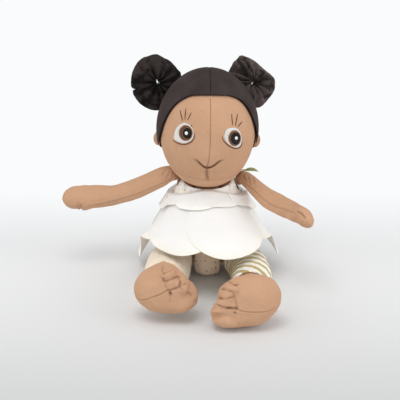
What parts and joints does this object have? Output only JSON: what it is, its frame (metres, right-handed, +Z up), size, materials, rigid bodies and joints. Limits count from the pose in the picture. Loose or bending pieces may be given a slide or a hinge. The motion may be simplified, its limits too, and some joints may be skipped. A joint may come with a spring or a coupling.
{
  "type": "cloth doll",
  "caption": "Seated soft cloth doll with pleated hair buns, turning head, swinging arms and legs, petal dress, leggings and toed feet.",
  "frame": {"origin": "middle of the flat of the seat, on the surface that the doll sits on", "axes": "+Z up; the doll faces -Y; its own left side is at +X"},
  "size_m": [0.2593, 0.234, 0.2292],
  "materials": {
    "skin_velour": "short-pile velour over fibre fill, matt",
    "hair_velour": "short-pile velour with a soft sheen",
    "white_thread": "satin-stitch embroidery",
    "brown_thread": "satin-stitch embroidery",
    "black_thread": "satin-stitch embroidery",
    "green_ribbon": "narrow woven ribbon",
    "plain_jersey": "knitted jersey, matt",
    "striped_jersey": "knitted jersey with olive stripes, matt",
    "printed_cotton": "woven cotton with a small sprig print",
    "bloomers_print": "woven cotton with a small sprig print",
    "cream_cotton": "woven cotton, matt, with overlocked hems"
  },
  "bodies": {
    "torso": {"body": "skin_velour", "bodice": "printed_cotton", "bloomers": "bloomers_print", "waist_band": "cream_cotton", "right_shoulder_tie": "green_ribbon", "left_shoulder_tie": "green_ribbon", "front_left_petal": "cream_cotton", "front_right_petal": "cream_cotton", "side_right_petal": "cream_cotton", "side_left_petal": "cream_cotton", "back_right_petal": "cream_cotton", "back_left_petal": "cream_cotton", "upper_petal_1": "cream_cotton", "upper_petal_2": "cream_cotton", "upper_petal_3": "cream_cotton", "upper_petal_4": "cream_cotton", "upper_petal_5": "cream_cotton", "upper_petal_6": "cream_cotton", "upper_petal_7": "cream_cotton", "upper_petal_8": "cream_cotton"},
    "neck_post": {"neck": "skin_velour"},
    "head_group": {"head": "skin_velour", "right_hair_cap": "hair_velour", "right_bun": "hair_velour", "right_ear": "skin_velour", "right_eye_white": "white_thread", "right_iris": "brown_thread", "right_pupil": "black_thread", "left_hair_cap": "hair_velour", "left_bun": "hair_velour", "left_ear": "skin_velour", "left_eye_white": "white_thread", "left_iris": "brown_thread", "left_pupil": "black_thread"},
    "right_shoulder": {"right_shoulder_gather": "skin_velour"},
    "right_arm_group": {"right_arm": "skin_velour"},
    "right_hip": {"right_hip_gather": "skin_velour"},
    "right_leg_group": {"right_leg": "skin_velour", "right_legging": "plain_jersey", "right_foot": "skin_velour"},
    "left_shoulder": {"left_shoulder_gather": "skin_velour"},
    "left_arm_group": {"left_arm": "skin_velour"},
    "left_hip": {"left_hip_gather": "skin_velour"},
    "left_leg_group": {"left_leg": "skin_velour", "left_legging": "striped_jersey", "left_foot": "skin_velour"}
  },
  "joints": [
    {"name": "neck_turn", "type": "hinge", "parent": "torso", "child": "neck_post", "pos_m": [0, -0.012, 0.09], "axis": [0, 0, 1], "range_deg": [-45, 45]},
    {"name": "head_nod", "type": "hinge", "parent": "neck_post", "child": "head_group", "pos_m": [0, -0.012, 0.0956], "axis": [1, 0, 0], "range_deg": [-5, 4]},
    {"name": "right_shoulder_swing", "type": "hinge", "parent": "torso", "child": "right_shoulder", "pos_m": [-0.041, -0.002, 0.1005], "axis": [0, 0, 1], "range_deg": [-5, 60]},
    {"name": "left_shoulder_swing", "type": "hinge", "parent": "torso", "child": "left_shoulder", "pos_m": [0.041, -0.002, 0.097], "axis": [0, 0, 1], "range_deg": [-6, 56]},
    {"name": "right_arm_raise", "type": "hinge", "parent": "right_shoulder", "child": "right_arm_group", "pos_m": [-0.041, -0.002, 0.1005], "axis": [-0.0698, 0.9976, 0], "range_deg": [-6, 45]},
    {"name": "left_arm_raise", "type": "hinge", "parent": "left_shoulder", "child": "left_arm_group", "pos_m": [0.041, -0.002, 0.097], "axis": [-0.829, -0.5592, 0], "range_deg": [-3, 45]},
    {"name": "right_hip_spread", "type": "hinge", "parent": "torso", "child": "right_hip", "pos_m": [-0.033, -0.024, 0.0205], "axis": [0, 0, 1], "range_deg": [-15, 2]},
    {"name": "right_leg_lift", "type": "hinge", "parent": "right_hip", "child": "right_leg_group", "pos_m": [-0.033, -0.024, 0.0205], "axis": [1, 0, 0], "range_deg": [-3, 75]},
    {"name": "left_hip_spread", "type": "hinge", "parent": "torso", "child": "left_hip", "pos_m": [0.033, -0.024, 0.0205], "axis": [0, 0, 1], "range_deg": [-2, 15]},
    {"name": "left_leg_lift", "type": "hinge", "parent": "left_hip", "child": "left_leg_group", "pos_m": [0.033, -0.024, 0.0205], "axis": [1, 0, 0], "range_deg": [-3, 75]}
  ]
}
